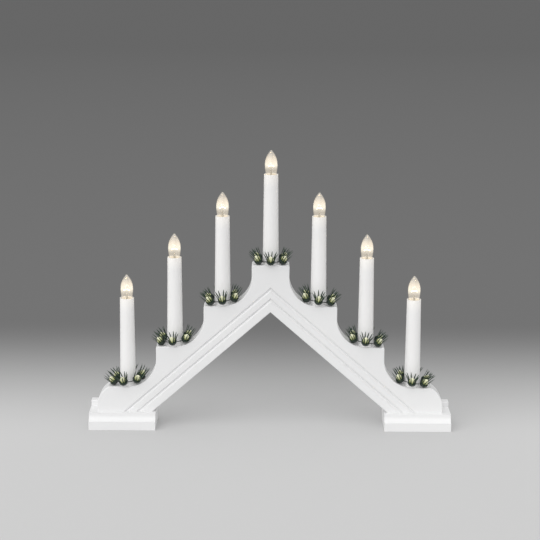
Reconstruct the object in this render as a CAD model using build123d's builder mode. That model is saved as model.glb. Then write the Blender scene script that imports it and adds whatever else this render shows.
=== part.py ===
"""Electric candle arch: an A-shaped wooden board on two moulded feet, with seven lit candles on its steps.

Millimetres. X runs along the arch, Y from the front (-Y) to the back, Z up. The origin is on the table,
under the middle of the arch. The board's middle plane is Y = 0.
"""

import os
from math import acos, atan2, cos, degrees, hypot, radians, sin, sqrt

from build123d import *

os.makedirs("parts", exist_ok=True)

# Board
step_run = 52.5  # from one candle's axis to the next
step_rise = 46.0  # from one shelf to the next
steps = 3  # steps on each side of the top shelf
first_shelf = 46.5  # lowest shelf above the table
shelf_half = 20.5  # from a candle's axis to the outer end of its shelf
board_thickness = 22.0
leg_drop = 52.5  # from the top shelf down to the peak of the opening
end_reach = 13.0  # board beyond the lowest shelf's flat part
end_round = 25.0  # rounded outer end of the lowest shelf
corner_round = 2.0
edge_bevel = 0.6
overrun = 3.0  # how far a cut runs past the surface it opens

# Front grooves, along both legs
groove_width = 3.6
groove_depth = 1.7
groove_distances = (10.2, 19.3)  # from the underside, square to the leg

# Feet
foot_reach = 9.0  # foot beyond the board's end
foot_length = 73.5
lip_depth = 11.4  # foot in front of the board, and behind it
foot_rear_height = 24.0
seat_height = 18.0  # where the board stands
fascia_height = 9.3
cove_radius = 6.1
foot_edge_round = 1.0

# Foot screws
foot_screw_radius = 1.75
foot_screw_head = 3.6
foot_screw_length = 36.0
foot_screw_insets = (13.5, 51.5)  # from the foot's inner end
screw_clearance = 0.05
screw_recess = 0.4  # heads below the surface
screw_head_angle = 90.0

# Candle sleeve
sleeve_height = 98.5
sleeve_base_radius = 8.75
sleeve_top_radius = 7.7
sleeve_bore = 6.6
sleeve_floor = 3.0
spigot_radius = 6.1
spigot_length = 14.0
spigot_wall = 1.2
seat_clearance = 0.1

# Wiring space in the board, its heights measured down from a shelf
candle_bore_depth = 24.0
wire_hole_radius = 5.0
wire_hole_drop = 21.5
channel_drop = 25.0  # centre line of the back channel, at a candle's axis
channel_width = 7.0
channel_depth = 6.0
cover_width = 16.4
cover_thickness = 2.5
cover_clearance = 0.2
lead_hole_radius = 2.6
lead_hole_share = 2.74  # place of the cord's hole, in candle spacings from the middle

# Cover screws
cover_screw_radius = 1.0
cover_screw_head = 1.9
cover_screw_length = 8.0
cover_screw_offset = 5.8  # from the channel's centre line
cover_screw_shares = (0.27, 1.5, 2.5)  # places, in candle spacings from the middle

# Lampholder in the top of a sleeve, measured down from the sleeve's rim
holder_top = 8.5
holder_length = 13.0
holder_radius = 6.5
holder_bore = 5.3
holder_floor = 1.6
shell_outer = 5.2
shell_inner = 4.82
shell_length = 9.4
contact_radius = 1.6
contact_height = 0.5

# Bulb
bulb_above_rim = 26.0
bulb_radius = 6.8
bulb_widest_above_rim = 10.5
bulb_rim_radius = 5.8  # where the glass passes the sleeve's rim
bulb_tip_radius = 0.6
neck_radius = 4.4
neck_overlap = 3.0  # neck of the glass inside the cap
glass_wall = 0.5
cap_radius = 4.75
cap_wall = 0.25
cap_floor = 1.2
cap_length = 9.2
cap_tip_radius = 1.9
cap_tip_height = 1.0
cap_clearance = 0.25
stem_radius = 1.5
stem_above_rim = 1.5
support_radius = 0.3
support_spread = 1.9
filament_above_rim = 8.5

# Needle ring round a candle
wire_ring_radius = 11.2
wire_ring_sides = 24
ring_wire = 1.3  # across its square section
wire_ring_height = 5.2
rosettes = 6
rosette_foot = 13.0  # distance of a rosette's foot from the candle's axis
rosette_lean = 34.0  # degrees from upright
cup_sides = 6
cup_foot_radius = 2.6
cup_rim_radius = 4.6
cup_length = 4.6
needles = 8
needle_length = 10.5
needle_width = 1.3
needle_root = 2.95  # distance of a needle's root from its rosette's axis
needle_spread = 5.2  # the same for its tip
needle_sink = 0.9
bud_radius = 2.9
bud_length = 8.4
bud_sink = 2.2
bud_form_shares = ((0.0, 0.7), (0.4, 1.0), (1.0, 0.15))  # heights and radii along a bud
ring_tilt = 7.5  # degrees, because a ring leans on the curve beside its shelf
ring_gap = 0.3  # under a ring's lowest cup
ring_turns = (-18.0, -12.0, 0.0, 0.0, -2.0, 2.0, -6.0)  # degrees, from left to right

# Wires that join the lamps
wire_radius = 0.7
wire_sides = 6
wire_bend = 2.0
wire_side = 1.6  # a wire's distance from its candle's axis, to one side
wire_back = 3.0  # the same to the back, inside a sleeve
wire_end_gap = 0.1

slope = step_rise / step_run
leg_angle = degrees(atan2(step_rise, step_run))
top_shelf = first_shelf + steps * step_rise
scallop_radius = step_run - shelf_half
half_board = board_thickness / 2
arch_peak = top_shelf - leg_drop
leg_inner = (arch_peak - seat_height) / slope
board_half_length = steps * step_run + shelf_half + end_reach
foot_half_span = board_half_length + foot_reach
leg_length = hypot(foot_half_span, foot_half_span * slope)
candles = range(-steps, steps + 1)
sides = {"left": -1, "right": 1}


def shelf_at(number):
    """Height of the shelf under a candle, counted from the middle one."""
    return top_shelf - abs(number) * step_rise


def leg_plane(height, y, into):
    """A plane across the right leg, on the line that meets the arch's middle at this height."""
    along = Vector(cos(radians(leg_angle)), 0, -sin(radians(leg_angle)))
    return Plane(origin=(0, y, height), x_dir=(0, into, 0), z_dir=along)


def write(part, name):
    """Names a finished piece and writes it."""
    part.label = name
    export_step(part, f"parts/{name}.step")


def write_for_each_candle(form, name):
    """Writes a piece that is made at shelf level, on the axis, once for each candle."""
    for count, number in enumerate(candles, 1):
        with BuildPart() as copy:
            with Locations((number * step_run, 0, shelf_at(number))):
                add(form.part)
        write(copy.part, f"{name}_{count}")


def screw(radius, head, length):
    """A countersunk wood screw that stands on its head."""
    with BuildPart() as form:
        with BuildSketch(Plane.XZ):
            with BuildLine():
                Polyline(
                    (0, 0),
                    (head, 0),
                    (radius, head - radius),
                    (radius, length),
                    (0, length),
                    close=True,
                )
            make_face()
        revolve(axis=Axis.Z)
    return form


channel_peak = top_shelf - channel_drop


def channel_at(x):
    """Height of the back channel's centre line."""
    return channel_peak - abs(x) * slope


# Places of the screws: the feet's on the table plane, the covers' on the board's back
foot_screw_spots = [
    (side * (foot_half_span - foot_length + inset), 0, 0)
    for side in sides.values()
    for inset in foot_screw_insets
]
cover_screw_spots = []
for side in sides.values():
    for count, share in enumerate(cover_screw_shares):
        across = cover_screw_offset * (-1) ** count
        x = share * step_run + across * sin(radians(leg_angle))
        z = channel_at(share * step_run) + across * cos(radians(leg_angle))
        cover_screw_spots.append((side * x, half_board, z))

foot_screw = screw(foot_screw_radius, foot_screw_head, foot_screw_length)
with BuildPart() as foot_screws:
    with Locations(*foot_screw_spots):
        with Locations((0, 0, screw_recess)):
            add(foot_screw.part)
write(foot_screws.part, "foot_screws")

cover_screw = screw(cover_screw_radius, cover_screw_head, cover_screw_length)
with BuildPart() as cover_screws:
    for spot in cover_screw_spots:
        with Locations(Location(spot, (90, 0, 0))):
            with Locations((0, 0, screw_recess)):
                add(cover_screw.part)
write(cover_screws.part, "cover_screws")

# Cutters for the two front grooves, mitred at the top
with BuildPart() as groove_cutters:
    for distance in groove_distances:
        height = arch_peak + distance / cos(radians(leg_angle))
        with BuildSketch(leg_plane(height, -half_board, 1)):
            with BuildLine():
                Polyline(
                    (-overrun, groove_width / 2),
                    (0, groove_width / 2),
                    (groove_depth, 0),
                    (0, -groove_width / 2),
                    (-overrun, -groove_width / 2),
                    close=True,
                )
            make_face()
        extrude(amount=leg_length, both=True)
    split(bisect_by=Plane.YZ)
    mirror(about=Plane.YZ)

# Cutters for the wire channel in the back and the step that its covers lie in
with BuildPart() as channel_cutters:
    for width, depth in ((channel_width, channel_depth), (cover_width, cover_thickness)):
        with BuildSketch(leg_plane(channel_peak, half_board, -1)):
            with Locations(((depth - overrun) / 2, 0)):
                Rectangle(depth + overrun, width)
        extrude(amount=leg_length, both=True)
    split(bisect_by=Plane.YZ)
    mirror(about=Plane.YZ)

# Arch board
with BuildPart() as arch_board:
    with BuildSketch(Plane.XZ):
        with BuildLine():
            Line((0, top_shelf), (shelf_half, top_shelf))
            for step in range(1, steps + 1):
                axis, shelf = step * step_run, shelf_at(step)
                wall = axis - scallop_radius
                Line((wall, shelf + step_rise), (wall, shelf + scallop_radius))
                CenterArc((axis, shelf + scallop_radius), scallop_radius, 180, 90)
                Line((axis, shelf), (axis + shelf_half, shelf))
            corner = steps * step_run + shelf_half
            end_centre = board_half_length - end_round
            end_rise = sqrt(end_round**2 - (corner - end_centre) ** 2)
            end_height = first_shelf - end_rise
            end_sweep = degrees(atan2(end_rise, corner - end_centre))
            CenterArc((end_centre, end_height), end_round, 0, end_sweep)
            Polyline(
                (board_half_length, end_height),
                (board_half_length, seat_height),
                (leg_inner, seat_height),
                (0, arch_peak),
                (0, top_shelf),
            )
        make_face()
        mirror(about=Plane.YZ)
    extrude(amount=half_board, both=True)
    outer_corners = [
        e
        for e in arch_board.edges().filter_by(Axis.Y)
        for number in candles
        if abs(abs(e.center().X) - (abs(number) * step_run + shelf_half)) < corner_round
        and abs(e.center().Z - shelf_at(number)) < corner_round
    ]
    fillet(list(dict.fromkeys(outer_corners)), corner_round)
    rims = [f.outer_wire().edges() for f in arch_board.faces().filter_by(Axis.Y)]
    chamfer([e for rim in rims for e in rim if e.center().Z > seat_height], edge_bevel)
    add(groove_cutters.part, mode=Mode.SUBTRACT)
    add(channel_cutters.part, mode=Mode.SUBTRACT)
    for number in candles:
        shelf = shelf_at(number)
        with BuildSketch(Plane.XY.offset(shelf)):
            with Locations((number * step_run, 0)):
                Circle(spigot_radius + seat_clearance)
        extrude(amount=-candle_bore_depth, mode=Mode.SUBTRACT)
        with BuildSketch(Plane.XY.offset(shelf)):
            with Locations((number * step_run, 0)):
                Circle(sleeve_base_radius + seat_clearance)
        extrude(amount=overrun, mode=Mode.SUBTRACT)
        with BuildSketch(Plane.XZ.offset(-half_board)):
            with Locations((number * step_run, shelf - wire_hole_drop)):
                Circle(wire_hole_radius)
        extrude(amount=half_board, mode=Mode.SUBTRACT)
    with Locations(*foot_screw_spots):
        with Locations(Location((0, 0, 0), (180, 0, 0))):
            Hole(foot_screw_radius + screw_clearance, foot_screw_length + screw_recess + screw_clearance)
    for spot in cover_screw_spots:
        with Locations(Location(spot, (-90, 0, 0))):
            Hole(cover_screw_radius + screw_clearance, cover_screw_length + screw_recess + screw_clearance)
write(arch_board.part, "arch_board")

# Feet: a moulded lip in front of the board and a higher rear part behind it
for name, side in sides.items():
    front = -half_board - lip_depth
    lip = front + cove_radius
    with BuildPart() as foot:
        with BuildSketch(Plane.YZ.offset(min(side * foot_half_span, side * (foot_half_span - foot_length)))):
            with BuildLine():
                Line((front, 0), (front, fascia_height))
                CenterArc((front, fascia_height + cove_radius), cove_radius, -90, 90)
                Polyline(
                    (lip, fascia_height + cove_radius),
                    (lip, seat_height),
                    (half_board, seat_height),
                    (half_board, foot_rear_height),
                    (-front, foot_rear_height),
                    (-front, 0),
                    (front, 0),
                )
            make_face()
        extrude(amount=foot_length)
        fillet(foot.edges().filter_by(Axis.X).group_by(Axis.Z)[-1], foot_edge_round)
        with Locations(*[spot for spot in foot_screw_spots if spot[0] * side > 0]):
            with Locations(Location((0, 0, 0), (180, 0, 0))):
                CounterSinkHole(
                    foot_screw_radius + screw_clearance,
                    foot_screw_head + screw_recess + screw_clearance,
                    counter_sink_angle=screw_head_angle,
                )
    write(foot.part, f"foot_{name}")

# Back covers: two slats let in flush over the channel, mitred at the top
for name, side in sides.items():
    with BuildPart() as cover:
        with BuildSketch(leg_plane(channel_peak, half_board, -1)):
            with Locations((cover_thickness / 2, 0)):
                Rectangle(cover_thickness, cover_width - 2 * cover_clearance)
        extrude(amount=leg_length, both=True)
        split(bisect_by=Plane.YZ.offset(cover_clearance))
        split(bisect_by=Plane.XY.offset(seat_height + cover_clearance))
        if side > 0:
            with BuildSketch(Plane.XZ.offset(-half_board)):
                with Locations((lead_hole_share * step_run, channel_at(lead_hole_share * step_run))):
                    Circle(lead_hole_radius)
            extrude(amount=cover_thickness, mode=Mode.SUBTRACT)
        else:
            mirror(about=Plane.YZ, mode=Mode.REPLACE)
        for spot in cover_screw_spots:
            if spot[0] * side > 0:
                with Locations(Location(spot, (-90, 0, 0))):
                    CounterSinkHole(
                        cover_screw_radius + screw_clearance,
                        cover_screw_head + screw_recess + screw_clearance,
                        counter_sink_angle=screw_head_angle,
                    )
    write(cover.part, f"back_cover_{name}")

# Candle sleeve: a tapered tube with a closed foot, plugged into the board by a hollow spigot
with BuildPart() as candle_sleeve:
    with BuildSketch(Plane.XZ):
        with BuildLine():
            Polyline(
                (spigot_radius - spigot_wall, -spigot_length),
                (spigot_radius, -spigot_length),
                (spigot_radius, 0),
                (sleeve_base_radius, 0),
                (sleeve_top_radius, sleeve_height),
                (sleeve_bore, sleeve_height),
                (sleeve_bore, sleeve_floor),
                (spigot_radius - spigot_wall, sleeve_floor),
                close=True,
            )
        make_face()
    revolve(axis=Axis.Z)
write_for_each_candle(candle_sleeve, "candle_sleeve")

# Lampholder in the top of the sleeve
holder_foot = sleeve_height - holder_top - holder_length
holder_seat = holder_foot + holder_floor
with BuildPart() as lampholder:
    with BuildSketch(Plane.XY.offset(holder_foot)):
        Circle(holder_radius)
    extrude(amount=holder_length)
    with BuildSketch(Plane.XY.offset(holder_seat)):
        Circle(holder_bore)
    extrude(amount=holder_length, mode=Mode.SUBTRACT)
write_for_each_candle(lampholder, "lampholder")

with BuildPart() as lampholder_shell:
    with BuildSketch(Plane.XY.offset(holder_seat)):
        Circle(shell_outer)
        Circle(shell_inner, mode=Mode.SUBTRACT)
    extrude(amount=shell_length)
write_for_each_candle(lampholder_shell, "lampholder_shell")

with BuildPart() as lamp_contacts:
    for number in candles:
        with BuildSketch(Plane.XY.offset(shelf_at(number) + holder_seat)):
            with Locations((number * step_run, 0)):
                Circle(contact_radius)
        extrude(amount=contact_height)
write(lamp_contacts.part, "lamp_contacts")

# Bulb: brass cap, filament on its stem, and hollow pointed glass
cap_foot = holder_seat + contact_height + cap_clearance + cap_tip_height
cap_top = cap_foot + cap_length
with BuildPart() as bulb_cap:
    with BuildSketch(Plane.XY.offset(cap_foot - cap_tip_height)):
        Circle(cap_tip_radius)
    extrude(amount=cap_tip_height)
    with BuildSketch(Plane.XY.offset(cap_foot)):
        Circle(cap_radius)
    extrude(amount=cap_length)
    with BuildSketch(Plane.XY.offset(cap_foot + cap_floor)):
        Circle(cap_radius - cap_wall)
    extrude(amount=cap_length, mode=Mode.SUBTRACT)
write_for_each_candle(bulb_cap, "bulb_cap")

widest = sleeve_height + bulb_widest_above_rim
bulb_tip = sleeve_height + bulb_above_rim
tip_rise = bulb_tip - widest
tip_inset = bulb_radius - bulb_tip_radius
side_radius = (tip_rise**2 + tip_inset**2) / (2 * tip_inset)
side_centre = bulb_radius - side_radius


def bulb_half(inset, foot):
    """Half section of the glass's outer form, or of the hollow that lies a wall's thickness inside it."""
    radius = side_radius - inset
    sweep_angle = degrees(acos((bulb_tip_radius - side_centre) / radius))
    with BuildSketch(Plane.XZ) as half:
        with BuildLine():
            side = CenterArc((side_centre, widest), radius, 0, sweep_angle)
            Polyline(
                side @ 1,
                (0, (side @ 1).Y),
                (0, foot),
                (neck_radius - inset, foot),
                (neck_radius - inset, cap_top),
                (bulb_rim_radius - inset, sleeve_height),
                side @ 0,
            )
        make_face()
    return half.sketch


with BuildPart() as bulb_glass:
    revolve(bulb_half(0, cap_top - neck_overlap), axis=Axis.Z)
    revolve(bulb_half(glass_wall, cap_top - neck_overlap - overrun), axis=Axis.Z, mode=Mode.SUBTRACT)
write_for_each_candle(bulb_glass, "bulb_glass")

stem_top = sleeve_height + stem_above_rim
filament_height = sleeve_height + filament_above_rim
with BuildPart() as bulb_filament:
    with BuildSketch(Plane.XY.offset(cap_foot + cap_floor)):
        Circle(stem_radius)
    extrude(amount=stem_top - cap_foot - cap_floor)
    with BuildLine(Plane.XZ) as supports:
        Polyline(
            (-stem_radius / 2, stem_top - stem_radius),
            (-support_spread, filament_height),
            (support_spread, filament_height),
            (stem_radius / 2, stem_top - stem_radius),
        )
    with BuildSketch(Plane(origin=supports.line @ 0, z_dir=supports.line % 0)):
        RegularPolygon(support_radius, wire_sides)
    sweep(path=supports.line, transition=Transition.RIGHT)
write_for_each_candle(bulb_filament, "bulb_filament")

# Rosette of a needle ring: a cup with a bud in it and needles round the bud
with BuildPart() as needle:
    with BuildSketch(Plane.XY.offset(cup_length - needle_sink)):
        with Locations((needle_root, 0)):
            RegularPolygon(needle_width / 2, 3)
    tip = Vertex(needle_spread, 0, cup_length - needle_sink + needle_length)
    loft([needle.pending_faces[0], tip], ruled=True)

with BuildPart() as rosette:
    for height, radius in ((0, cup_foot_radius), (cup_length, cup_rim_radius)):
        with BuildSketch(Plane.XY.offset(height)):
            RegularPolygon(radius, cup_sides)
    loft(ruled=True)
    for height_share, radius_share in bud_form_shares:
        with BuildSketch(Plane.XY.offset(cup_length - bud_sink + height_share * bud_length)):
            RegularPolygon(radius_share * bud_radius, cup_sides)
    loft(ruled=True)
    with PolarLocations(0, needles, start_angle=180 / needles):
        add(needle.part)

# Needle ring: six rosettes on a thin ring, leaning outward
foot_level = ring_gap + cup_foot_radius * sin(radians(rosette_lean))
with BuildPart() as needle_ring:
    with BuildSketch(Plane.XY.offset(wire_ring_height - ring_wire / 2)):
        RegularPolygon(wire_ring_radius + ring_wire / 2, wire_ring_sides)
        RegularPolygon(wire_ring_radius - ring_wire / 2, wire_ring_sides, mode=Mode.SUBTRACT)
    extrude(amount=ring_wire)
    with PolarLocations(0, rosettes, start_angle=-90):
        with Locations(Location((rosette_foot, 0, foot_level), (0, rosette_lean, 0))):
            add(rosette.part)

ring_reach = rosette_foot + cup_foot_radius * cos(radians(rosette_lean))
for count, number in enumerate(candles):
    tilt = ring_tilt * ((number > 0) - (number < 0))
    rise = ring_reach * sin(radians(abs(tilt)))
    turn = ring_turns[count % len(ring_turns)]
    with BuildPart() as placed_ring:
        with Locations(Location((number * step_run, 0, shelf_at(number) + rise), (0, tilt, turn))):
            add(needle_ring.part)
    write(placed_ring.part, f"needle_ring_{count + 1}")

# Lamp wires: one between each two neighbouring lamps, one back over the top, and the lead
lead_place = lead_hole_share * step_run
holder_level = holder_foot - wire_end_gap
with BuildPart() as lamp_wires:
    routes = []
    for number in range(-steps, steps):
        low, high = (number, number + 1) if number < 0 else (number + 1, number)
        s = 1 if high > low else -1
        xa, za = low * step_run, shelf_at(low)
        xb, zb = high * step_run, shelf_at(high)
        routes.append(
            [
                (xa + s * wire_side, wire_back, za + holder_level),
                (xa + s * wire_side, wire_back, za - 16.5),
                (xa + s * 2.0, 5.9, za - 24.0),
                (xa + s * 4.4, 5.9, za - 24.6),
                (xb - s * 5.5, 5.9, zb - 32.3),
                (xb - s * 2.0, 5.9, zb - 23.5),
                (xb - s * wire_side, wire_back, zb - 16.5),
                (xb - s * wire_side, wire_back, zb + holder_level),
            ]
        )
    for side, start in ((-1, [(lead_place - 1.5, 7.6), (0, 7.6)]), (1, [(lead_place + 1.5, 7.6)])):
        xa, za = side * steps * step_run, first_shelf
        routes.append(
            [(x, y, channel_at(x) + 2.5) for x, y in start]
            + [
                (xa + side * -3.5, 7.6, za - 19.4),
                (xa + side * 1.0, 5.9, za - 23.0),
                (xa + side * 2.6, 4.8, za - 22.6),
                (xa + side * wire_side, wire_back, za - 16.5),
                (xa + side * wire_side, wire_back, za + holder_level),
            ]
        )
    for route in routes:
        with BuildLine() as path:
            FilletPolyline(*route, radius=wire_bend)
        with BuildSketch(Plane(origin=path.line @ 0, z_dir=path.line % 0)):
            RegularPolygon(wire_radius, wire_sides)
        sweep(path=path.line)
write(lamp_wires.part, "lamp_wires")
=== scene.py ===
"""Candle arch: its finishes, bulbs, needle rings and screws, with the light and camera of the photograph.

Metres. X runs along the arch, Y from the front to the back, Z up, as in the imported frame.
"""

from math import atan2, cos, pi, radians, sin, sqrt, tau

import bmesh
import bpy
from mathutils import Matrix, Vector


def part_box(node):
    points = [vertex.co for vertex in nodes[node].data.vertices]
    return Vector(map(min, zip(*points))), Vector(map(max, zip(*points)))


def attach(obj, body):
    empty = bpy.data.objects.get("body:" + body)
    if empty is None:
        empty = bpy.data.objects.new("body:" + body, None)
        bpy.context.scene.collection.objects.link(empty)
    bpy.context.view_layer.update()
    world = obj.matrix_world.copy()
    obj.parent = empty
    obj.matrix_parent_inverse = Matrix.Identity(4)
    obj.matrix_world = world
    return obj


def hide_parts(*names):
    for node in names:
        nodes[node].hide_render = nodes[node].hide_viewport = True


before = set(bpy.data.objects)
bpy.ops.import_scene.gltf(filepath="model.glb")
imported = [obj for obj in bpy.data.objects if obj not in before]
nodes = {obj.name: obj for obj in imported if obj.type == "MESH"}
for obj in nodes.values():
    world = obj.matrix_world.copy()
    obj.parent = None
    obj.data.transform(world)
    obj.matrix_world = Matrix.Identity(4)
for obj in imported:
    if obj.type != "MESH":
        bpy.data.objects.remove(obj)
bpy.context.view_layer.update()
candles = range(1, 8)
mm = 0.001

# Camera
camera_place = (-0.7 * mm, -1705 * mm, 560 * mm)
camera_pitch = radians(12.66)  # below level
camera_roll = radians(0.30)
camera_lens = 106.6
sensor_width = 36.0
view_depth = 60.0

# Finishes
painted = ("arch_board", "foot_left", "foot_right", "back_cover_left", "back_cover_right")
paint_tones = ((0.82, 0.82, 0.823), (0.85, 0.85, 0.85))
sleeve_tones = ((0.885, 0.878, 0.872), (0.905, 0.898, 0.893))
stem_tones = ((0.78, 0.76, 0.70), (0.82, 0.80, 0.74))
# painted glow of each sleeve under its rim, standing in for its bulb's light shining through the plastic
painted_rim_glow = (0.10, 0.085, 0.06)
filament_strength = 9.0
drift_start, drift_end = 0.35, 0.65  # noise values between which one tone turns into the other
relief_height = 0.2 * mm
patch_scale = 28.0  # noise scale of the patches that shine a little more or less

# Screws, from their heads to their ends
board_back = 11 * mm
screw_recess = 0.4 * mm
leg_slope = 46 / 52.5
foot_screw = (1.75 * mm, 3.6 * mm, 36 * mm)  # radius, head radius, length
foot_screw_places = (0.14, 0.178)  # distances from the middle
cover_screw = (1.0 * mm, 1.9 * mm, 8 * mm)
cover_screw_shares = (0.27, 1.5, 2.5)  # places, in candle spacings from the middle
cover_screw_offset = 5.8 * mm
channel_peak = 159.5 * mm
candle_spacing = 52.5 * mm
screw_sides = 32
cross_arm, cross_reach, cross_depth = 0.17, 0.56, 0.55  # the recess, in shares of the head's radius
cross_floor = 0.75  # size of its floor, as a share of its mouth
screw_pitch, screw_thread, screw_point = 0.9, 0.18, 0.7  # shares of the shank's radius
point_start = 0.9  # share of the length where the point begins
thread_start_rows = 6  # rows over which the thread grows to its full depth

# Bulb, its heights measured from its sleeve's rim
spigot_length = 14 * mm
lit_length = 16 * mm
bulb_height = 26 * mm
bulb_widest = 10.5 * mm
bulb_radius = 6.8 * mm
bulb_rim_radius = 5.8 * mm
bulb_tip_radius = 1.1 * mm
neck_radius = 4.4 * mm
neck_top = -8.95 * mm
neck_foot = -11.9 * mm
glass_wall = 0.5 * mm
glass_sides = 48
waist_steps, side_steps, tip_steps = 8, 16, 5
tip_stop = 0.2  # steps that the tip's arc stops short of the axis
cap_foot = -18.15 * mm
cap_length = 9.2 * mm
cap_radius = 4.75 * mm
cap_floor = 1.5 * mm  # above its foot, on the inside
cap_sides, cap_rows = 40, 44
cap_underside = ((0.5, -0.35), (0.86, 0))  # shares of its radius, mm from its foot
cap_tip_profile = ((0.2, -1), (1.1, -0.9), (1.7, -0.5), (1.9, 0), (1.9, 0.3))  # mm, from the cap's foot
cap_tip_sides = 24
thread_foot = cap_foot + 1.0 * mm
thread_run_in, thread_run_out = 1.2 * mm, 0.8 * mm
thread_pitch = 1.81 * mm
thread_depth = 0.5 * mm
filament_half = 3.3 * mm
filament_height = 8.3 * mm
filament_bow = 1.2 * mm
coil_radius = 0.32 * mm
coil_wire = 0.09 * mm
coil_turns, coil_steps = 14, 8  # steps to each turn
support_path = ((0.5, 0.0), (0.5, 3.6), (0.9, 4.8), (1.9, 6.6), (2.9, 7.6))  # mm, up to the filament's end
support_wire = 0.14 * mm
stem_profile = (  # mm
    (1.5, -16.9), (1.5, -1), (1.3, 0.5), (0.8, 1.6), (0.55, 2.6), (0.8, 3.2), (0.8, 3.9), (0.3, 4.4),
)
stem_sides = 20
glow_along = (
    (0.0, (0.092, 0.082, 0.066)),
    (0.2, (0.09, 0.079, 0.062)),
    (0.38, (0.23, 0.21, 0.172)),
    (0.62, (0.18, 0.157, 0.124)),
    (0.85, (0.095, 0.086, 0.074)),
    (1.0, (0.10, 0.094, 0.084)),
)

# Needle ring
ring_turns = (-12.0, -6.5, 3.5, 0.0, -3.5, -5.0, -9.5)  # degrees, from left to right
ring_tilt = radians(7.5)
seed_base = 40  # plus the candle's number
rosettes = 6
rosette_spread, rosette_size_spread = radians(1.5), 0.02
rosette_foot = 13.0 * mm
rosette_lean = radians(34.0)
lean_swing = radians(8.5)  # more to the sides, less to the front and back
cup_foot_radius = 2.6 * mm
ring_gap = 0.3 * mm
foot_level = ring_gap + cup_foot_radius * sin(rosette_lean)
ring_reach = rosette_foot + cup_foot_radius * cos(rosette_lean)
wire_ring_radius = 11.2 * mm
wire_ring_height = 3.6 * mm
wire_ring_wave = 0.25 * mm
wire_ring_steps = 60
ring_wire, ring_wire_sides = 0.42 * mm, 8
cup_radius = 4.7 * mm
cup_length = 5.4 * mm
cup_profile = (  # shares of its radius, mm from its foot
    (0.35, 0), (0.55, 0.25), (0.8, 1.3), (0.95, 2.7), (1.0, 4.2), (0.97, 5.4), (0.82, 5.3), (0.72, 4.2),
)
cup_sides, cup_ribs, cup_rib_depth = 40, 10, 0.045
needles = 10
needle_length = 11.6 * mm
needle_width = 1.5 * mm
needle_root = 3.75 * mm
needle_spread = 4.4 * mm
outward_share = 0.26  # of that spread, where a needle points away from the candle
needle_sink = 1.6 * mm
needle_thickness = 0.72  # share of its width
needle_bow = 1.35  # power by which it bends outward
needle_lean_spread, needle_turn_spread, needle_size_spread = radians(4), radians(7), 0.05
needle_steps, needle_sides = 6, 6
bud_radius = 3.3 * mm
bud_length = 8.2 * mm
bud_sink = 2.6 * mm
bud_tip_radius = 0.05 * mm
bud_steps, bud_sides, bud_ridges, bud_ridge_depth = 12, 24, 6, 0.05
needle_tones = ((0.0, (0.010, 0.022, 0.012)), (0.5, (0.014, 0.040, 0.020)), (1.0, (0.030, 0.060, 0.034)))
cup_tones = ((0.0, (0.012, 0.020, 0.016)), (1.0, (0.010, 0.028, 0.014)))
bud_tones = (
    (0.0, (0.14, 0.20, 0.04)), (0.3, (0.46, 0.53, 0.19)), (0.6, (0.74, 0.76, 0.42)), (1.0, (0.88, 0.88, 0.68)),
)

# Light and background
world_light = 0.825
key_light = 1.3
key_direction = (0.5, 0.8, -0.8)  # the way the light travels
key_softness = radians(80)
floor_size = 30.0
# The floor's colour carries a painted pool of light: pale in front of the arch, then darkened by painted shade
# behind it and far in front of it.
floor_near_tone = 0.57
floor_painted_shade_tone = 0.16
floor_middle = 0.225  # in front of the arch; the floor darkens to both sides of it
backdrop_tone = 0.135
fade_start = -0.066  # Y where the pale floor starts to darken
fade_end = 0.465
deep_start = 0.4  # Y where the dark floor starts to fall off slowly
deep_end = 5.0
deep_share = 0.77


# Node trees and materials


def new_material(name):
    """A material with only its Principled shader, ready for its values."""
    material = bpy.data.materials.new(name)
    material.use_nodes = True
    return material, material.node_tree, material.node_tree.nodes["Principled BSDF"]


def add_node(tree, kind, **values):
    """A node of that kind, with its properties and inputs set by name."""
    node = tree.nodes.new(kind)
    for name, value in values.items():
        if name in node.inputs:
            node.inputs[name].default_value = value
        else:
            setattr(node, name, value)
    return node


def calculate(tree, operation, first, second=None):
    """A Math node's result. Each input is a number or another node's output."""
    node = add_node(tree, "ShaderNodeMath", operation=operation)
    for k, value in enumerate((first, second)):
        if isinstance(value, (int, float)):
            node.inputs[k].default_value = value
        elif value is not None:
            tree.links.new(value, node.inputs[k])
    return node.outputs["Value"]


def map_range(tree, value, low, high, first, second, **values):
    """The value's place from low to high, as the same place from first to second."""
    ends = {"From Min": low, "From Max": high, "To Min": first, "To Max": second}
    node = add_node(tree, "ShaderNodeMapRange", **ends, **values)
    tree.links.new(value, node.inputs["Value"])
    return node.outputs["Result"]


def colour_ramp(tree, value, stops):
    """A colour that runs through its (place, tone) stops."""
    node = tree.nodes.new("ShaderNodeValToRGB")
    elements = node.color_ramp.elements
    while len(elements) < len(stops):
        elements.new(0.5)
    for element, (place, tone) in zip(elements, stops):
        element.position = place
        element.color = (*tone, 1)
    tree.links.new(value, node.inputs["Fac"])
    return node.outputs["Color"]


def add_inputs(tree, sockets):
    """Gives a node group its named inputs, with their starting values."""
    for name, kind, value in sockets:
        socket = tree.interface.new_socket(name, in_out="INPUT", socket_type=f"NodeSocket{kind}")
        if value is not None:
            socket.default_value = value


def object_coordinates(tree):
    """The object's own coordinates, which are the frame's, because every piece sits at the origin."""
    return tree.nodes.new("ShaderNodeTexCoord").outputs["Object"]


def frame_axis(tree, axis):
    """Where a point of the surface lies along one axis of the frame."""
    split = tree.nodes.new("ShaderNodeSeparateXYZ")
    tree.links.new(object_coordinates(tree), split.inputs["Vector"])
    return split.outputs[axis]


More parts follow.
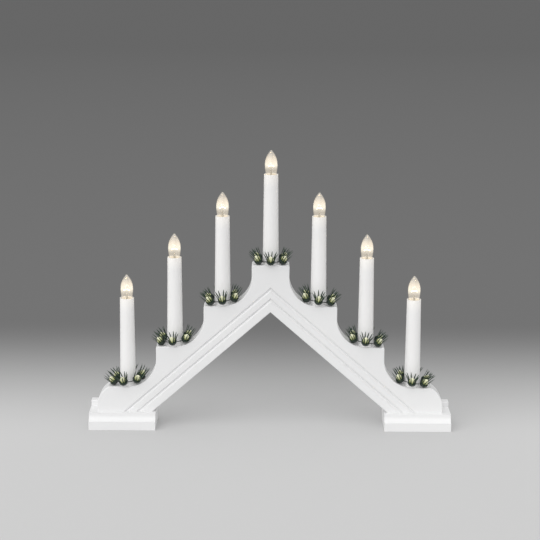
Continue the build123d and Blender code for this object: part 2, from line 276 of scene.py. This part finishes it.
def make_fine_relief():
    """Node group: the slight unevenness of a painted or moulded surface, as a normal and a roughness."""
    group = bpy.data.node_groups.new("fine_relief", "ShaderNodeTree")
    add_inputs(group, (
        ("Vector", "Vector", None), ("Scale", "Float", 400.0), ("Depth", "Float", 0.1),
        ("Roughness", "Float", 0.4), ("Variation", "Float", 0.05),
    ))
    group.interface.new_socket("Normal", in_out="OUTPUT", socket_type="NodeSocketVector")
    group.interface.new_socket("Roughness", in_out="OUTPUT", socket_type="NodeSocketFloat")
    entry, leave = group.nodes.new("NodeGroupInput"), group.nodes.new("NodeGroupOutput")
    peel = add_node(group, "ShaderNodeTexNoise", Detail=3.0)
    bump = add_node(group, "ShaderNodeBump", Distance=relief_height)
    patches = add_node(group, "ShaderNodeTexNoise", Scale=patch_scale, Detail=2.0)
    about_zero = calculate(group, "SUBTRACT", patches.outputs["Fac"], 0.5)
    change = calculate(group, "MULTIPLY", about_zero, entry.outputs["Variation"])
    roughness = calculate(group, "ADD", change, entry.outputs["Roughness"])
    for start, end in (
        (entry.outputs["Vector"], peel.inputs["Vector"]), (entry.outputs["Scale"], peel.inputs["Scale"]),
        (peel.outputs["Fac"], bump.inputs["Height"]), (entry.outputs["Depth"], bump.inputs["Strength"]),
        (entry.outputs["Vector"], patches.inputs["Vector"]),
        (bump.outputs["Normal"], leave.inputs["Normal"]), (roughness, leave.inputs["Roughness"]),
    ):
        group.links.new(start, end)
    return group


fine_relief = make_fine_relief()


def give_relief(tree, shader, scale, depth, roughness, variation):
    """Puts the fine relief on a shader."""
    relief = add_node(tree, "ShaderNodeGroup", node_tree=fine_relief)
    values = {"Scale": scale, "Depth": depth, "Roughness": roughness, "Variation": variation}
    for name, value in values.items():
        relief.inputs[name].default_value = value
    tree.links.new(object_coordinates(tree), relief.inputs["Vector"])
    tree.links.new(relief.outputs["Normal"], shader.inputs["Normal"])
    tree.links.new(relief.outputs["Roughness"], shader.inputs["Roughness"])


def tone_drift(tree, shader, first, second, scale):
    """A slow drift between two close tones over the surface."""
    noise = add_node(tree, "ShaderNodeTexNoise", Scale=scale, Detail=2.0)
    tree.links.new(object_coordinates(tree), noise.inputs["Vector"])
    tone = colour_ramp(tree, noise.outputs["Fac"], ((drift_start, first), (drift_end, second)))
    tree.links.new(tone, shader.inputs["Base Color"])


def glow_along_height(tree, shader, height, stops):
    """Makes the surface give light, in tones that change with its height."""
    tree.links.new(colour_ramp(tree, height, stops), shader.inputs["Emission Color"])
    shader.inputs["Emission Strength"].default_value = 1.0


def make_paint():
    """White satin paint, rolled on smooth wood."""
    material, tree, shader = new_material("white_satin_paint")
    tone_drift(tree, shader, *paint_tones, scale=9.0)
    give_relief(tree, shader, scale=900.0, depth=0.12, roughness=0.42, variation=0.12)
    return material


def make_plain(name, first, second, roughness, metallic=0.0):
    """A moulded plastic or a plain metal with a slight drift of tone."""
    material, tree, shader = new_material(name)
    tone_drift(tree, shader, first, second, scale=40.0)
    give_relief(tree, shader, scale=1500.0, depth=0.08, roughness=roughness, variation=0.08)
    shader.inputs["Metallic"].default_value = metallic
    return material


def assign(name, material):
    """Gives a CAD node its material."""
    mesh = nodes[name].data
    mesh.materials.clear()
    mesh.materials.append(material)


paint = make_paint()
steel = make_plain("zinc_plated_steel", (0.50, 0.50, 0.52), (0.60, 0.60, 0.61), 0.3, metallic=1.0)
brass = make_plain("brass", (0.60, 0.42, 0.16), (0.68, 0.49, 0.20), 0.28, metallic=1.0)
holder_plastic = make_plain("holder_plastic", (0.66, 0.65, 0.60), (0.70, 0.69, 0.64), 0.5)
insulation = make_plain("wire_insulation", (0.68, 0.68, 0.66), (0.74, 0.74, 0.72), 0.45)

for name in painted:
    assign(name, paint)
assign("lamp_wires", insulation)
assign("lamp_contacts", brass)
for n in candles:
    assign(f"lampholder_{n}", holder_plastic)
    assign(f"lampholder_shell_{n}", brass)


def candle_at(n):
    """A candle's axis, and the heights of its shelf and of its sleeve's rim."""
    low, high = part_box(f"candle_sleeve_{n}")
    return (low.x + high.x) / 2, low.z + spigot_length, high.z


def make_sleeve_plastic(n):
    """Smooth warm white plastic, with a painted glow for a short way under its rim that stands in for the
    bulb's light shining through it.
    """
    material, tree, shader = new_material(f"sleeve_plastic_{n}")
    tone_drift(tree, shader, *sleeve_tones, scale=14.0)
    give_relief(tree, shader, scale=700.0, depth=0.05, roughness=0.36, variation=0.08)
    # painted glow: the plastic gives off light under its rim, in place of the bulb's light shining through
    rim = candle_at(n)[2]
    painted_glow_near_rim = map_range(tree, frame_axis(tree, "Z"), rim - lit_length, rim, 0.0, 1.0,
                         interpolation_type="SMOOTHSTEP")
    glow_along_height(tree, shader, painted_glow_near_rim, ((0.0, (0, 0, 0)), (1.0, painted_rim_glow)))
    return material


for n in candles:
    assign(f"candle_sleeve_{n}", make_sleeve_plastic(n))


# Meshes


def add_piece(name, mesh, place, body, stands_for=()):
    """Puts a mesh that was made round the origin at its place, as a piece of that body."""
    mesh = mesh.copy()
    mesh.transform(place)
    mesh.name = name
    piece = bpy.data.objects.new(name, mesh)
    bpy.context.scene.collection.objects.link(piece)
    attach(piece, body)
    if stands_for:
        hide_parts(*stands_for)


def mesh_from(form, name, smooth=True, material=None):
    """A mesh from an edited form, with its normals made to point outwards."""
    bmesh.ops.recalc_face_normals(form, faces=form.faces)
    mesh = bpy.data.meshes.new(name)
    form.to_mesh(mesh)
    form.free()
    for face in mesh.polygons:
        face.use_smooth = smooth
    if material:
        mesh.materials.append(material)
    return mesh


def circle(radius, height, sides, ribs=0, rib_depth=0.0):
    """Points evenly round Z, in and out by ribs if asked."""
    points = []
    for k in range(sides):
        angle = tau * k / sides
        grown = radius * (1 + rib_depth * cos(ribs * angle)) if ribs else radius
        points.append(Vector((grown * cos(angle), grown * sin(angle), height)))
    return points


def skin_rings(form, rings, looped=False):
    """Joins rings of points, each as long as the next, into a tube with closed ends or a loop."""
    made = [[form.verts.new(point) for point in ring] for ring in rings]
    pairs = list(zip(made, made[1:])) + ([(made[-1], made[0])] if looped else [])
    for first, second in pairs:
        for k in range(len(first)):
            form.faces.new((first[k - 1], first[k], second[k], second[k - 1]))
    if not looped:
        form.faces.new(made[0])
        form.faces.new(reversed(made[-1]))


def lathe(form, profile, sides, ribs=0, rib_depth=0.0):
    """Turns a profile of (radius, height) points round Z, with ribs if asked."""
    skin_rings(form, [circle(radius, height, sides, ribs, rib_depth) for radius, height in profile])


def scaled(profile, across=mm, foot=0.0):
    """A profile in metres: its radii times across, its heights given in mm above foot."""
    return [(radius * across, foot + height * mm) for radius, height in profile]


def tube_along(form, points, radius, sides):
    """A round tube that follows the points."""
    rings = []
    across = None
    for k, point in enumerate(points):
        ahead = points[min(k + 1, len(points) - 1)] - points[max(k - 1, 0)]
        ahead.normalize()
        if across is None:
            across = ahead.orthogonal().normalized()
        across = (across - ahead * across.dot(ahead)).normalized()
        other = ahead.cross(across)
        angles = [tau * j / sides for j in range(sides)]
        rings.append([point + (across * cos(angle) + other * sin(angle)) * radius for angle in angles])
    skin_rings(form, rings)


# Screws


def make_screw_mesh(radius, head, length):
    """A countersunk screw that stands on its head, with a cross recess and a thread."""
    form = bmesh.new()
    arm, reach, depth = cross_arm * head, cross_reach * head, cross_depth * head
    cross = []
    for quarter in range(4):
        turn = Matrix.Rotation(quarter * pi / 2, 3, "Z")
        cross += [turn @ Vector(point) for point in ((arm, -arm, 0), (reach, -arm, 0), (reach, arm, 0))]
    rim = [form.verts.new(point) for point in circle(head, 0, screw_sides)]
    edge = [form.verts.new(point) for point in cross]
    floor = [form.verts.new((cross_floor * point.x, cross_floor * point.y, depth)) for point in cross]
    loops = [form.edges.new((loop[k - 1], loop[k])) for loop in (rim, edge) for k in range(len(loop))]
    bmesh.ops.triangle_fill(form, use_beauty=True, edges=loops)
    for k in range(len(edge)):
        form.faces.new((edge[k - 1], edge[k], floor[k], floor[k - 1]))
    form.faces.new(floor)
    below = rim
    start = head - radius  # the head's cone ends here
    rows = 10 * round(length / (5 * radius))
    for k in range(rows + 1):
        z = start + (length - start) * k / rows
        pointed = screw_point * max(0.0, (k / rows - point_start) / (1 - point_start))
        ring = []
        for j in range(screw_sides):
            angle = tau * j / screw_sides
            wave = 0.5 + 0.5 * cos(tau * (z - start) / (screw_pitch * radius) - angle)
            groove = min(1.0, k / thread_start_rows) * screw_thread * wave
            here = radius * (1 - groove - pointed)
            ring.append(form.verts.new((here * cos(angle), here * sin(angle), z)))
        for j in range(screw_sides):
            form.faces.new((below[j - 1], below[j], ring[j], ring[j - 1]))
        below = ring
    form.faces.new(below)
    return mesh_from(form, "screw", smooth=False)


def add_screws(name, sizes, places):
    """One node's screws, all in one piece."""
    mesh = make_screw_mesh(*sizes)
    joined = bmesh.new()
    for place in places:
        copy = mesh.copy()
        copy.transform(place)
        joined.from_mesh(copy)
    mesh = mesh_from(joined, name, smooth=False, material=steel)
    add_piece(f"{name}_crossed", mesh, Matrix(), "arch", (name,))


def foot_screw_spots():
    """The foot screws' places, two to each foot, with their heads sunk in its underside."""
    return [Matrix.Translation((side * x, 0, screw_recess)) for side in (-1, 1) for x in foot_screw_places]


def cover_screw_spots():
    """The cover screws' places, three to each cover, above and below its middle line by turns."""
    spots = []
    for side in (-1, 1):
        for count, share in enumerate(cover_screw_shares):
            lift = cover_screw_offset * (-1) ** count / sqrt(1 + leg_slope**2)
            x = side * (share * candle_spacing + lift * leg_slope)
            z = channel_peak - share * candle_spacing * leg_slope + lift
            turned = Matrix.Translation((x, board_back, z)) @ Matrix.Rotation(pi / 2, 4, "X")
            spots.append(turned @ Matrix.Translation((0, 0, screw_recess)))
    return spots


add_screws("foot_screws", foot_screw, foot_screw_spots())
add_screws("cover_screws", cover_screw, cover_screw_spots())


# Bulbs


def bulb_profile(inset):
    """Points of the bulb's side, from its neck to its tip, a wall's thickness inside if asked."""
    tip_centre = bulb_height - bulb_tip_radius
    rise = tip_centre - bulb_widest
    side_radius = (rise**2 + bulb_radius**2 - bulb_tip_radius**2) / (2 * (bulb_radius - bulb_tip_radius))
    side_sweep = atan2(rise, side_radius - bulb_radius)
    waist = bulb_radius - bulb_rim_radius
    waist_radius = (bulb_widest**2 + waist**2) / (2 * waist)
    waist_sweep = atan2(bulb_widest, waist_radius - waist)
    points = [(neck_radius - inset, neck_foot), (neck_radius - inset, neck_top)]
    for centre, height, radius, angles in (
        (bulb_radius - waist_radius, bulb_widest, waist_radius,
         [-waist_sweep * (1 - k / waist_steps) for k in range(waist_steps + 1)]),
        (bulb_radius - side_radius, bulb_widest, side_radius,
         [side_sweep * k / side_steps for k in range(1, side_steps + 1)]),
        (0, tip_centre, bulb_tip_radius,
         [side_sweep + (pi / 2 - side_sweep) * k / (tip_steps + tip_stop) for k in range(1, tip_steps + 1)]),
    ):
        for angle in angles:
            points.append((centre + (radius - inset) * cos(angle), height + (radius - inset) * sin(angle)))
    return points


def make_glass_mesh(material):
    """The bulb's thin glass: an outer and an inner wall, joined at the neck."""
    form = bmesh.new()
    lathe(form, bulb_profile(0)[::-1] + bulb_profile(glass_wall), glass_sides)
    return mesh_from(form, "bulb_glass", material=material)


def make_glowing_glass(n):
    """Clear glass that the lit filament fills with warm light, brightest round the filament."""
    material, tree, shader = new_material(f"lit_glass_{n}")
    shader.inputs["Base Color"].default_value = (1.0, 0.985, 0.96, 1)
    shader.inputs["Transmission Weight"].default_value = 1.0
    shader.inputs["Roughness"].default_value = 0.04
    shader.inputs["IOR"].default_value = 1.45
    rim = candle_at(n)[2]
    height = map_range(tree, frame_axis(tree, "Z"), rim, rim + bulb_height, 0.0, 1.0)
    glow_along_height(tree, shader, height, glow_along)
    return material


def make_lit_wire():
    """The filament's glowing wire."""
    material, tree, shader = new_material("lit_filament")
    shader.inputs["Base Color"].default_value = (0.9, 0.7, 0.4, 1)
    shader.inputs["Emission Color"].default_value = (1.0, 0.78, 0.45, 1)
    shader.inputs["Emission Strength"].default_value = filament_strength
    give_relief(tree, shader, scale=4000.0, depth=0.1, roughness=0.4, variation=0.1)
    return material


def make_stem_glass():
    """The stem's half-clear glass."""
    material, tree, shader = new_material("stem_glass")
    tone_drift(tree, shader, *stem_tones, scale=120.0)
    give_relief(tree, shader, scale=900.0, depth=0.08, roughness=0.2, variation=0.1)
    shader.inputs["Transmission Weight"].default_value = 0.5
    return material


def make_filament_mesh(material):
    """A fine coil between the two supports."""
    form = bmesh.new()
    points = []
    for k in range(coil_turns * coil_steps + 1):
        along = k / (coil_turns * coil_steps)
        across = 2 * along - 1
        middle = filament_height + filament_bow * (1 - across**2)
        angle = tau * coil_turns * along
        points.append(Vector((filament_half * across, coil_radius * cos(angle),
                              middle + coil_radius * sin(angle))))
    tube_along(form, points, coil_wire, sides=5)
    return mesh_from(form, "filament", material=material)


def make_stem_mesh(material):
    """The glass stem with its bead."""
    form = bmesh.new()
    lathe(form, scaled(stem_profile), stem_sides)
    return mesh_from(form, "stem", material=material)


def make_support_mesh(material):
    """The two bent wires that carry the filament."""
    form = bmesh.new()
    for side in (-1, 1):
        points = [Vector((side * x, 0, z)) for x, z in scaled(support_path)]
        points.append(Vector((side * filament_half, 0, filament_height)))
        tube_along(form, points, support_wire, sides=6)
    return mesh_from(form, "supports", material=material)


def make_cap_mesh(material):
    """The brass cap with its rolled screw thread."""
    form = bmesh.new()
    top = cap_foot + cap_length
    rings = [circle(radius, z, cap_sides) for radius, z in scaled(cap_underside, cap_radius, cap_foot)]
    for k in range(cap_rows + 1):
        z = cap_foot + cap_length * k / cap_rows
        fade = max(0.0, min(1.0, (z - cap_foot) / thread_run_in, (top - z) / thread_run_out))
        ring = []
        for j in range(cap_sides):
            angle = tau * j / cap_sides
            wave = cos(tau * ((z - thread_foot) / thread_pitch) - angle)
            radius = cap_radius - thread_depth * (0.5 - 0.5 * wave * fade)
            ring.append(Vector((radius * cos(angle), radius * sin(angle), z)))
        rings.append(ring)
    rings += [circle(neck_radius, z, cap_sides) for z in (top, cap_foot + cap_floor)]
    skin_rings(form, rings)
    return mesh_from(form, "cap", material=material)


def make_cap_tip_mesh(material):
    """The soft solder drop in the middle of the cap's foot."""
    form = bmesh.new()
    lathe(form, scaled(cap_tip_profile, foot=cap_foot), cap_tip_sides)
    return mesh_from(form, "cap_tip", material=material)


filament_mesh, stem_mesh = make_filament_mesh(make_lit_wire()), make_stem_mesh(make_stem_glass())
support_mesh = make_support_mesh(steel)
cap_mesh, cap_tip_mesh = make_cap_mesh(brass), make_cap_tip_mesh(steel)


def add_bulb(n):
    """One candle's bulb: glass, filament on its stem and supports, cap and its tip."""
    axis, _, rim = candle_at(n)
    place = Matrix.Translation((axis, 0, rim))
    for name, mesh, slot, stands_for in (
        ("glass", make_glass_mesh(make_glowing_glass(n)), "clear_glass", (f"bulb_glass_{n}",)),
        ("filament", filament_mesh, "glowing_filament", (f"bulb_filament_{n}",)),
        ("stem", stem_mesh, "clear_glass", ()),
        ("supports", support_mesh, "steel", ()),
        ("cap", cap_mesh, "brass", (f"bulb_cap_{n}",)),
        ("cap_tip", cap_tip_mesh, "brass", ()),
    ):
        add_piece(f"{name}_{n}", mesh, place, f"bulb_{n}", stands_for)


# Needle rings


def make_round_the_axis():
    """Geometry node tree: copies of a piece evenly round Z, leaning outward, each a little different."""
    tree = bpy.data.node_groups.new("round_the_axis", "GeometryNodeTree")
    add_inputs(tree, (
        ("Geometry", "Geometry", None), ("Count", "Int", 6), ("Distance", "Float", 0.01),
        ("Height", "Float", 0.0), ("Lean", "Float", 0.0), ("Start", "Float", 0.0),
        ("Lean Spread", "Float", 0.0), ("Lean Swing", "Float", 0.0), ("Turn Spread", "Float", 0.0),
        ("Size Spread", "Float", 0.0), ("Seed", "Int", 1), ("Material", "Material", None),
    ))
    tree.interface.new_socket("Geometry", in_out="OUTPUT", socket_type="NodeSocketGeometry")
    entry, leave = tree.nodes.new("NodeGroupInput"), tree.nodes.new("NodeGroupOutput")
    link = tree.links.new

    def work(operation, first, second=None):
        return calculate(tree, operation, first, second)

    def random_about_zero(spread, seed_shift):
        node = add_node(tree, "FunctionNodeRandomValue", data_type="FLOAT")
        link(work("MULTIPLY", entry.outputs[spread], -1.0), node.inputs[2])
        link(entry.outputs[spread], node.inputs[3])
        link(work("ADD", entry.outputs["Seed"], seed_shift), node.inputs["Seed"])
        return node.outputs[1]

    points = tree.nodes.new("GeometryNodePoints")
    index = tree.nodes.new("GeometryNodeInputIndex").outputs[0]
    step = work("DIVIDE", tau, entry.outputs["Count"])
    even = work("ADD", work("MULTIPLY", index, step), entry.outputs["Start"])
    angle = work("ADD", even, random_about_zero("Turn Spread", 11))
    swing = work("MULTIPLY", work("COSINE", work("MULTIPLY", even, 2.0)), entry.outputs["Lean Swing"])
    lean = work("ADD", work("ADD", entry.outputs["Lean"], swing), random_about_zero("Lean Spread", 23))
    size = work("ADD", 1.0, random_about_zero("Size Spread", 37))
    place = tree.nodes.new("ShaderNodeCombineXYZ")
    link(work("MULTIPLY", work("COSINE", angle), entry.outputs["Distance"]), place.inputs["X"])
    link(work("MULTIPLY", work("SINE", angle), entry.outputs["Distance"]), place.inputs["Y"])
    link(entry.outputs["Height"], place.inputs["Z"])
    turn = tree.nodes.new("ShaderNodeCombineXYZ")
    link(lean, turn.inputs["Y"])
    link(angle, turn.inputs["Z"])
    facing = tree.nodes.new("FunctionNodeEulerToRotation")
    copies = tree.nodes.new("GeometryNodeInstanceOnPoints")
    real = tree.nodes.new("GeometryNodeRealizeInstances")
    finish = tree.nodes.new("GeometryNodeSetMaterial")
    link(entry.outputs["Count"], points.inputs["Count"])
    link(place.outputs["Vector"], points.inputs["Position"])
    link(turn.outputs["Vector"], facing.inputs["Euler"])
    link(points.outputs[0], copies.inputs["Points"])
    link(entry.outputs["Geometry"], copies.inputs["Instance"])
    link(facing.outputs["Rotation"], copies.inputs["Rotation"])
    link(size, copies.inputs["Scale"])
    link(copies.outputs["Instances"], real.inputs["Geometry"])
    link(real.outputs["Geometry"], finish.inputs["Geometry"])
    link(entry.outputs["Material"], finish.inputs["Material"])
    link(finish.outputs["Geometry"], leave.inputs["Geometry"])
    return tree


round_the_axis = make_round_the_axis()


def repeat_round(mesh, name, material, **values):
    """A plain mesh of that piece's copies round the axis."""
    source = bpy.data.objects.new(name, mesh)
    bpy.context.scene.collection.objects.link(source)
    modifier = source.modifiers.new("round", "NODES")
    modifier.node_group = round_the_axis
    sockets = round_the_axis.interface.items_tree
    keys = {socket.name: socket.identifier for socket in sockets if socket.in_out == "INPUT"}
    modifier[keys["Material"]] = material
    for key, value in values.items():
        modifier[keys[key.replace("_", " ").title()]] = value
    bpy.context.view_layer.update()
    depsgraph = bpy.context.evaluated_depsgraph_get()
    result = bpy.data.meshes.new_from_object(source.evaluated_get(depsgraph))
    result.name = name
    bpy.data.objects.remove(source)
    return result


def mark_along(mesh, length):
    """Stores how far along its length each point lies, from 0 at the foot to 1 at the tip."""
    along = mesh.attributes.new("along", "FLOAT", "POINT")
    for k, vertex in enumerate(mesh.vertices):
        along.data[k].value = min(max(vertex.co.z / length, 0.0), 1.0)


def make_along_material(name, tones, roughness, depth):
    """Moulded plastic whose colour runs along the piece, from foot to tip, and drifts a little."""
    material, tree, shader = new_material(name)
    along = add_node(tree, "ShaderNodeAttribute", attribute_name="along")
    drift = add_node(tree, "ShaderNodeTexNoise", Scale=260.0, Detail=2.0)
    shade = add_node(tree, "ShaderNodeMix", data_type="RGBA", blend_type="MULTIPLY")
    shade.inputs["Factor"].default_value = 1.0
    tree.links.new(object_coordinates(tree), drift.inputs["Vector"])
    tree.links.new(colour_ramp(tree, along.outputs["Fac"], tones), shade.inputs["A"])
    tree.links.new(map_range(tree, drift.outputs["Fac"], 0.0, 1.0, 0.75, 1.25), shade.inputs["B"])
    tree.links.new(shade.outputs["Result"], shader.inputs["Base Color"])
    give_relief(tree, shader, scale=1800.0, depth=depth, roughness=roughness, variation=0.1)
    return material


def make_needle_mesh():
    """One needle: flat, pointed, and bowed outward."""
    form = bmesh.new()
    rings = []
    for k in range(needle_steps + 1):
        s = k / needle_steps
        half = needle_width / 2 * (0.7 + 0.8 * s * (1 - s)) * (1 - 0.85 * s**6)  # fullest halfway up
        centre = Vector((needle_spread * s**needle_bow, 0, needle_length * s))
        section = circle(half, 0, needle_sides)
        rings.append([centre + Vector((needle_thickness * x, y, 0)) for x, y, _ in section])
    skin_rings(form, rings)
    mesh = mesh_from(form, "needle")
    mark_along(mesh, needle_length)
    return mesh


def make_cup_mesh():
    """The ribbed cup that holds a bud and its needles."""
    form = bmesh.new()
    lathe(form, scaled(cup_profile, across=cup_radius), cup_sides, cup_ribs, cup_rib_depth)
    mesh = mesh_from(form, "cup")
    mark_along(mesh, cup_length)
    return mesh


def make_bud_mesh():
    """A plump pointed bud with faint ridges, sunk in its cup."""
    form = bmesh.new()
    profile = []
    for k in range(bud_steps + 1):
        s = k / bud_steps
        radius = bud_radius * (sin(pi * (0.16 + 0.84 * s)) ** 0.8 if s < 1 else 0.0)
        profile.append((max(radius, bud_tip_radius), bud_length * s))
    lathe(form, profile, bud_sides, bud_ridges, bud_ridge_depth)
    mesh = mesh_from(form, "bud")
    mark_along(mesh, bud_length)
    mesh.transform(Matrix.Translation((0, 0, cup_length - bud_sink)))
    return mesh


def make_wire_ring_mesh(material):
    """The thin wire ring that the rosettes sit on, a little wavy."""
    form = bmesh.new()
    rings = []
    for k in range(wire_ring_steps):
        angle = tau * k / wire_ring_steps
        height = wire_ring_height + wire_ring_wave * sin(3 * angle + 0.7)
        out = Vector((cos(angle), sin(angle), 0))
        section = circle(ring_wire, 0, ring_wire_sides)
        rings.append([out * (wire_ring_radius + x) + Vector((0, 0, height + y)) for x, y, _ in section])
    skin_rings(form, rings, looped=True)
    return mesh_from(form, "wire_ring", material=material)


needle_green = make_along_material("needle_green", needle_tones, roughness=0.34, depth=0.1)
cup_green = make_along_material("cup_green", cup_tones, roughness=0.36, depth=0.12)
bud_cream = make_along_material("bud_cream", bud_tones, roughness=0.42, depth=0.1)
needle_mesh, cup_mesh, bud_mesh = make_needle_mesh(), make_cup_mesh(), make_bud_mesh()
wire_ring_mesh = make_wire_ring_mesh(cup_green)


def make_fan(seed):
    """A rosette's needles round its axis, drawn in where they would reach away from the candle."""
    fan = repeat_round(needle_mesh, "fan", needle_green, count=needles, distance=needle_root,
                       height=cup_length - needle_sink, start=pi / needles,
                       lean_spread=needle_lean_spread, turn_spread=needle_turn_spread,
                       size_spread=needle_size_spread, seed=seed)
    for vertex in fan.vertices:
        out = vertex.co.xy.length
        vertex.co.x *= 1 - (1 - outward_share) * max(out - needle_root, 0) / out
    return fan


def add_needle_ring(n):
    """One candle's ring: needles, cups, buds and the wire ring, tilted where it leans on the curve."""
    axis, shelf, _ = candle_at(n)
    tilt = ring_tilt * ((n > 4) - (n < 4))
    rise = ring_reach * sin(abs(tilt))
    place = (Matrix.Translation((axis, 0, shelf + rise)) @ Matrix.Rotation(tilt, 4, "Y")
             @ Matrix.Rotation(radians(ring_turns[n - 1]), 4, "Z"))
    seed = seed_base + n
    for name, mesh, material, stands_for in (
        ("needles", make_fan(seed), needle_green, (f"needle_ring_{n}",)),
        ("cups", cup_mesh, cup_green, ()),
        ("buds", bud_mesh, bud_cream, ()),
    ):
        made = repeat_round(mesh, f"{name}_{n}", material, count=rosettes, distance=rosette_foot,
                            height=foot_level, lean=rosette_lean, start=-pi / 2, lean_swing=lean_swing,
                            lean_spread=rosette_spread, turn_spread=rosette_spread,
                            size_spread=rosette_size_spread, seed=seed)
        add_piece(f"{name}_{n}", made, place, f"ring_{n}", stands_for)
    add_piece(f"wire_ring_{n}", wire_ring_mesh, place, f"ring_{n}")


for n in candles:
    add_bulb(n)
    add_needle_ring(n)


# Floor, light and camera


def make_floor():
    """A pale floor with a painted pool of light: its colour darkens softly, as painted shade, behind the arch
    and far in front of it.
    """
    mesh = bpy.data.meshes.new("floor")
    half = floor_size / 2
    corners = [(-half, -half, 0), (half, -half, 0), (half, half, 0), (-half, half, 0)]
    mesh.from_pydata(corners, [], [(0, 1, 2, 3)])
    floor = bpy.data.objects.new("floor", mesh)
    bpy.context.scene.collection.objects.link(floor)
    material, tree, shader = new_material("floor_painted_falloff")
    # painted fall-off of light: the floor's colour darkens away from a pale band in front of the arch
    from_middle = calculate(tree, "ABSOLUTE", calculate(tree, "ADD", frame_axis(tree, "Y"), floor_middle))
    back = calculate(tree, "SUBTRACT", from_middle, floor_middle)
    fade = map_range(tree, back, fade_start, fade_end, floor_near_tone, floor_painted_shade_tone,
                     interpolation_type="SMOOTHSTEP")
    fall = map_range(tree, back, deep_start, deep_end, 1.0, deep_share)
    grey = calculate(tree, "MULTIPLY", fade, fall)
    tone = tree.nodes.new("ShaderNodeCombineColor")
    for name in ("Red", "Green", "Blue"):
        tree.links.new(grey, tone.inputs[name])
    tree.links.new(tone.outputs["Color"], shader.inputs["Base Color"])
    shader.inputs["Roughness"].default_value = 0.9
    shader.inputs["Specular IOR Level"].default_value = 0.0
    mesh.materials.append(material)


def make_world():
    """Even light from all round, and a grey background where the floor ends."""
    world = bpy.data.worlds.new("studio")
    bpy.context.scene.world = world
    world.use_nodes = True
    tree = world.node_tree
    background = tree.nodes["Background"]
    rays = tree.nodes.new("ShaderNodeLightPath").outputs
    seen = calculate(tree, "MAXIMUM", rays["Is Camera Ray"], rays["Is Glossy Ray"])
    shown = calculate(tree, "MAXIMUM", seen, rays["Is Transmission Ray"])
    tone = add_node(tree, "ShaderNodeMix", data_type="FLOAT")
    tone.inputs["A"].default_value = world_light
    tone.inputs["B"].default_value = backdrop_tone
    tree.links.new(shown, tone.inputs["Factor"])
    tree.links.new(tone.outputs["Result"], background.inputs["Strength"])
    background.inputs["Color"].default_value = (1, 1, 1, 1)


def make_key_light():
    """Soft light from the upper left, in front."""
    lamp = bpy.data.lights.new("key", "SUN")
    lamp.energy = key_light
    lamp.angle = key_softness
    key = bpy.data.objects.new("key", lamp)
    key.rotation_euler = Vector(key_direction).to_track_quat("-Z", "Y").to_euler()
    bpy.context.scene.collection.objects.link(key)


def make_camera():
    """The photograph's camera."""
    data = bpy.data.cameras.new("camera")
    data.lens = camera_lens
    data.sensor_width = sensor_width
    data.clip_end = view_depth
    camera = bpy.data.objects.new("camera", data)
    turn = Matrix.Rotation(pi / 2 - camera_pitch, 4, "X") @ Matrix.Rotation(camera_roll, 4, "Z")
    camera.matrix_world = Matrix.Translation(camera_place) @ turn
    bpy.context.scene.collection.objects.link(camera)
    bpy.context.scene.camera = camera


make_floor()
make_world()
make_key_light()
make_camera()
bpy.context.scene.view_settings.view_transform = "Standard"
